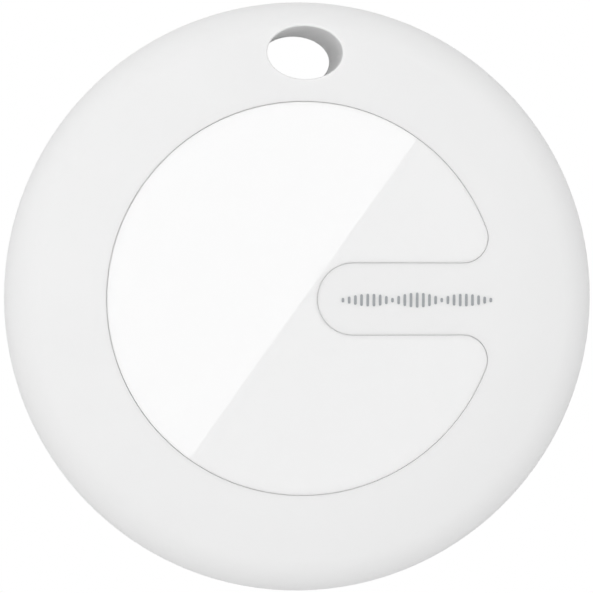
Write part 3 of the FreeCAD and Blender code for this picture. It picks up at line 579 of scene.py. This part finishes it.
# Squeeze is what a spring gives at full travel. Where a node holds springs of two heights, the shorter
# one has to give that much, and the taller one gives more.
springLook = {
    "sounderSprings": {
        "node": "sounder_contacts", "joint": "face_press", "finish": nickelBronze, "slot": "contact_bronze",
        "edge": 0.012 * mm, "squeeze": 0.17 * mm, "shortest": 1.19 * mm},
    "clickDome": {
        "node": "switch_dome", "joint": "switch_press", "finish": stainlessSheet, "slot": "switch_steel",
        "edge": 0.0, "squeeze": 0.185 * mm, "shortest": 0.3 * mm},
}


def makeSpring(name, look):
    # the part's own bent sheet, its stamped edges eased
    startPiece()
    spring = copyAt(nodes[look["node"]], Matrix.Identity(4))
    spring.select_set(True)
    bpy.context.view_layer.objects.active = spring
    bpy.ops.object.mode_set(mode="EDIT")
    bpy.ops.mesh.select_all(action="SELECT")
    bpy.ops.mesh.remove_doubles(threshold=mergeDistance)
    bpy.ops.object.mode_set(mode="OBJECT")
    if look["edge"]:
        bevel = spring.modifiers.new("easedEdges", "BEVEL")
        bevel.width = look["edge"]
        bevel.segments = easedSteps
        bpy.ops.object.modifier_apply(modifier=bevel.name)
    spring = joinPiece(name, [spring], look["finish"])
    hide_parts(look["node"])
    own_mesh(spring)


makeFoamRing(foamLook)
for springName, springValues in springLook.items():
    makeSpring(springName, springValues)
print("foam ring and springs made")


# Small details on the board

endLook = {
    "capLength": 0.24 * mm, "proud": 0.012 * mm, "rounding": 0.03 * mm,
    "toe": 0.16 * mm,           # how far the solder runs out over the board
    "toeHeight": 0.04 * mm,
}


def makeSolderedEnd(look, length, width, height):
    # a tinned end of a chip part, along +X from its inner edge, with the solder's slope at its foot
    startPiece()
    bpy.ops.mesh.primitive_cube_add(
        size=1, location=(length / 2, 0, height / 2), scale=(length, width, height))
    end = bpy.context.object
    bpy.ops.object.transform_apply(location=True, rotation=False, scale=True)
    bpy.ops.object.mode_set(mode="EDIT")
    bpy.ops.mesh.select_all(action="SELECT")
    bpy.ops.mesh.bevel(offset=look["rounding"], segments=easedSteps)
    pickFaces(end, lambda centre, normal: normal.x > facing)
    bpy.ops.mesh.extrude_region_move(TRANSFORM_OT_translate={"value": (look["toe"], 0, 0)})
    bpy.ops.transform.resize(value=(1, 1, look["toeHeight"] / height), center_override=(0, 0, 0))
    bpy.ops.mesh.select_all(action="SELECT")
    bpy.ops.mesh.normals_make_consistent(inside=False)
    bpy.ops.object.mode_set(mode="OBJECT")
    return end


def makeChipEnds(name, node, look):
    # both ends of every capacitor, resistor or inductor in a node
    bodies = bodiesOf(node)
    longSide, width, height = bodies[0][2:]
    proud = look["proud"]
    end = makeSolderedEnd(look, look["capLength"] + proud, width + 2 * proud, height + proud)
    copies = []
    for middle, turn, *sizes in bodies:
        for flip in (0, math.pi):
            spin = Matrix.Rotation(turn + flip, 4, "Z")
            inward = spin @ Matrix.Translation((longSide / 2 - look["capLength"], 0, 0))
            copies.append(copyAt(end, Matrix.Translation((middle.x, middle.y, boardTop)) @ inward))
    discard(end)
    joinPiece(name, copies, reflowedSolder)


padLook = {
    "rounding": 0.02 * mm, "toe": 0.14 * mm, "toeHeight": 0.03 * mm,
    "length": 0.12 * mm, "width": 0.26 * mm, "height": 0.14 * mm,
    "buried": 0.04 * mm,        # of a pad's length inside the chip's side
    "cornerRoom": 0.5 * mm,     # bare at each end of a side
    "pitch": 0.5 * mm,
}


def makePadsAround(name, node, look):
    # a row of soldered pads along each of the four sides of a square-set package
    low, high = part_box(node)
    middle = (low + high) / 2
    pad = makeSolderedEnd(look, look["length"], look["width"], look["height"])
    copies = []
    for quarter in range(4):
        across = (high - low).x if quarter % 2 else (high - low).y
        reach = ((high - low).y if quarter % 2 else (high - low).x) / 2
        count = max(int((across - 2 * look["cornerRoom"]) / look["pitch"]) + 1, 1)
        for index in range(count):
            slide = (index - (count - 1) / 2) * look["pitch"]
            spin = Matrix.Rotation(quarter * math.pi / 2, 4, "Z")
            local = spin @ Matrix.Translation((reach - look["buried"], slide, 0))
            copies.append(copyAt(pad, Matrix.Translation((middle.x, middle.y, boardTop)) @ local))
    discard(pad)
    joinPiece(name, copies, reflowedSolder)


testPadLook = {
    "radius": 0.45 * mm, "sides": 40, "thickness": 0.03 * mm, "rim": 0.06 * mm, "dip": 0.01 * mm,
    "ringShare": 0.88,          # of the board's radius
    "startDeg": 196.0, "stepDeg": 9.0, "count": 5,
}


def makeTestPads(look):
    # gold test pads in an arc near the edge of the board, on the side that faces the battery
    low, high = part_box("circuit_board")
    ring = (high.x - low.x) / 2 * look["ringShare"]
    startPiece()
    bpy.ops.mesh.primitive_cylinder_add(
        vertices=look["sides"], radius=look["radius"], depth=look["thickness"])
    pad = bpy.context.object
    bpy.ops.object.mode_set(mode="EDIT")
    pickFaces(pad, lambda centre, normal: normal.z < -facing)
    bpy.ops.mesh.inset(thickness=look["rim"])
    bpy.ops.mesh.inset(thickness=look["rim"])
    bpy.ops.transform.translate(value=(0, 0, look["dip"]))
    bpy.ops.object.mode_set(mode="OBJECT")
    copies = []
    for index in range(look["count"]):
        turn = math.radians(look["startDeg"] + index * look["stepDeg"])
        place = (ring * math.cos(turn), ring * math.sin(turn), boardBottom - look["thickness"] / 2)
        copies.append(copyAt(pad, Matrix.Translation(place)))
    discard(pad)
    joinPiece("testPads", copies, platedGold)


makeChipEnds("capacitorEnds", "capacitors", endLook)
makeChipEnds("resistorEnds", "resistors", endLook)
makeChipEnds("inductorEnds", "inductors", endLook)
makePadsAround("bluetoothChipPads", "bluetooth_chip", padLook)
makePadsAround("motionSensorPads", "motion_sensor", padLook)
makeTestPads(testPadLook)
print("board details made")


# Table, lamps and camera

stageLook = {
    "tableSize": 6.0, "tableGrey": "#DCDCDC", "tableShade": "#D4D4D4", "mottleMm": 40,
    "tableGlow": 0.08, "skyLevel": 0.675,
    "bounces": 16,              # light has to bounce many times to get out of a gap between white parts
}
pureWhite = linear("#FFFFFF")


def makeTable(look):
    # white to the camera as a light table is, and plain pale laminate to everything that it lights
    material, tree, place = newMaterial("paleTable")
    mottle = addNode(tree, "ShaderNodeTexNoise", {
        "Vector": place, "Scale": size(look["mottleMm"])}).outputs["Fac"]
    colours = {"colour": look["tableGrey"], "shade": look["tableShade"]}
    laminate = addNode(tree, "ShaderNodeBsdfDiffuse", {"Color": tintBy(tree, mottle, colours)})
    glow = addNode(tree, "ShaderNodeEmission", {"Color": pureWhite, "Strength": look["tableGlow"]})
    lit = addNode(tree, "ShaderNodeAddShader", {0: laminate.outputs["BSDF"], 1: glow.outputs["Emission"]})
    white = addNode(tree, "ShaderNodeEmission", {"Color": pureWhite, "Strength": 1.0})
    seen = addNode(tree, "ShaderNodeLightPath").outputs["Is Camera Ray"]
    both = addNode(tree, "ShaderNodeMixShader", {
        0: seen, 1: lit.outputs["Shader"], 2: white.outputs["Emission"]})
    addNode(tree, "ShaderNodeOutputMaterial", {"Surface": both.outputs["Shader"]})
    bpy.ops.mesh.primitive_plane_add(size=look["tableSize"], location=(0, 0, 0))
    table = bpy.context.object
    table.name = "table"
    table.data.materials.append(material)


def makeSky(look):
    # an even pale room, white where it is looked at
    world = bpy.data.worlds.new("paleRoom")
    bpy.context.scene.world = world
    world.use_nodes = True
    tree = world.node_tree
    tree.nodes.clear()
    room = addNode(tree, "ShaderNodeBackground", {"Color": pureWhite, "Strength": look["skyLevel"]})
    white = addNode(tree, "ShaderNodeBackground", {"Color": pureWhite, "Strength": 1.0})
    seen = addNode(tree, "ShaderNodeLightPath").outputs["Is Camera Ray"]
    both = addNode(tree, "ShaderNodeMixShader", {
        0: seen, 1: room.outputs["Background"], 2: white.outputs["Background"]})
    addNode(tree, "ShaderNodeOutputWorld", {"Surface": both.outputs["Shader"]})


cameraLook = {
    "aimMm": (-0.125, 0.033, 4.0),
    "distanceMm": 137.0,
    "leanDeg": 1.82,        # the camera stands this much towards the keyring hole
    "leftDeg": 5.62,        # and this much towards the side away from the tongue's root
    "lensMm": 127.43,
    "sensorMm": 36.0,
}


def makeCamera(look):
    turn = Matrix.Rotation(math.radians(-look["leanDeg"]), 4, "X")
    turn = turn @ Matrix.Rotation(math.radians(-look["leftDeg"]), 4, "Y")
    aim = Vector(look["aimMm"]) * mm
    data = bpy.data.cameras.new("camera")
    data.lens = look["lensMm"]
    data.sensor_width = look["sensorMm"]
    data.clip_start = mm
    camera = bpy.data.objects.new("camera", data)
    bpy.context.scene.collection.objects.link(camera)
    camera.matrix_world = Matrix.Translation(aim + turn @ Vector((0, 0, look["distanceMm"] * mm))) @ turn
    bpy.context.scene.camera = camera
    return camera


def areaLamp(name, sizeX, sizeY, radiance, placing):
    # a flat softbox that shines along its own -Z; its power follows from how bright its face is
    data = bpy.data.lights.new(name, "AREA")
    data.shape = "RECTANGLE"
    data.size = sizeX
    data.size_y = sizeY
    data.energy = math.pi * sizeX * sizeY * radiance
    lamp = bpy.data.objects.new(name, data)
    bpy.context.scene.collection.objects.link(lamp)
    lamp.matrix_world = placing
    lamp.visible_camera = False
    return lamp


lampLook = {
    "boxHeight": 0.30, "boxLength": 0.30, "boxDepth": 0.16, "boxRadiance": 1.72, "edgeDeg": 54.6,
    "edgeAsideMm": -0.09,       # of the face's middle, where the mirrored edge crosses it
    "ceilingHeight": 0.70, "ceilingSize": 0.80, "ceilingRadiance": 0.1,
    "sideSize": 0.80, "sideRadiance": 0.5, "sideDistance": 1.0,
    "sideRiseDeg": 28.0,        # above the table
    "sideTurnDeg": 150.0,       # round from +X
}


def makeLamps(camera, look):
    # The box's straight edge is mirrored in the panel as a line close to the middle of the face.
    eye = camera.matrix_world.translation
    mirrored = Vector((eye.x, eye.y, 2 * faceHeight - eye.z))
    middle = Vector((look["edgeAsideMm"] * mm, 0, faceHeight))
    reach = (look["boxHeight"] - mirrored.z) / (faceHeight - mirrored.z)
    onEdge = mirrored + (middle - mirrored) * reach
    turn = math.radians(look["edgeDeg"])
    inward = Vector((-math.sin(turn), math.cos(turn), 0))
    areaLamp("edgeBox", look["boxLength"], look["boxDepth"], look["boxRadiance"],
             Matrix.Translation(onEdge + inward * look["boxDepth"] / 2) @ Matrix.Rotation(turn, 4, "Z"))
    areaLamp("ceilingBox", look["ceilingSize"], look["ceilingSize"], look["ceilingRadiance"],
             Matrix.Translation((0, 0, look["ceilingHeight"])))
    # The side box lights the edge that faces it, and the far wall of the keyring hole.
    away = Matrix.Rotation(math.radians(look["sideTurnDeg"]), 4, "Z")
    away = away @ Matrix.Rotation(math.radians(90 - look["sideRiseDeg"]), 4, "Y")
    areaLamp("sideBox", look["sideSize"], look["sideSize"], look["sideRadiance"],
             away @ Matrix.Translation((0, 0, look["sideDistance"])))


makeTable(stageLook)
makeSky(stageLook)
makeLamps(makeCamera(cameraLook), lampLook)
bpy.context.scene.cycles.max_bounces = stageLook["bounces"]
bpy.context.scene.cycles.diffuse_bounces = stageLook["bounces"]
bpy.context.scene.view_settings.view_transform = "Standard"
bpy.context.scene.view_settings.look = "None"
print("table, lamps and camera set")
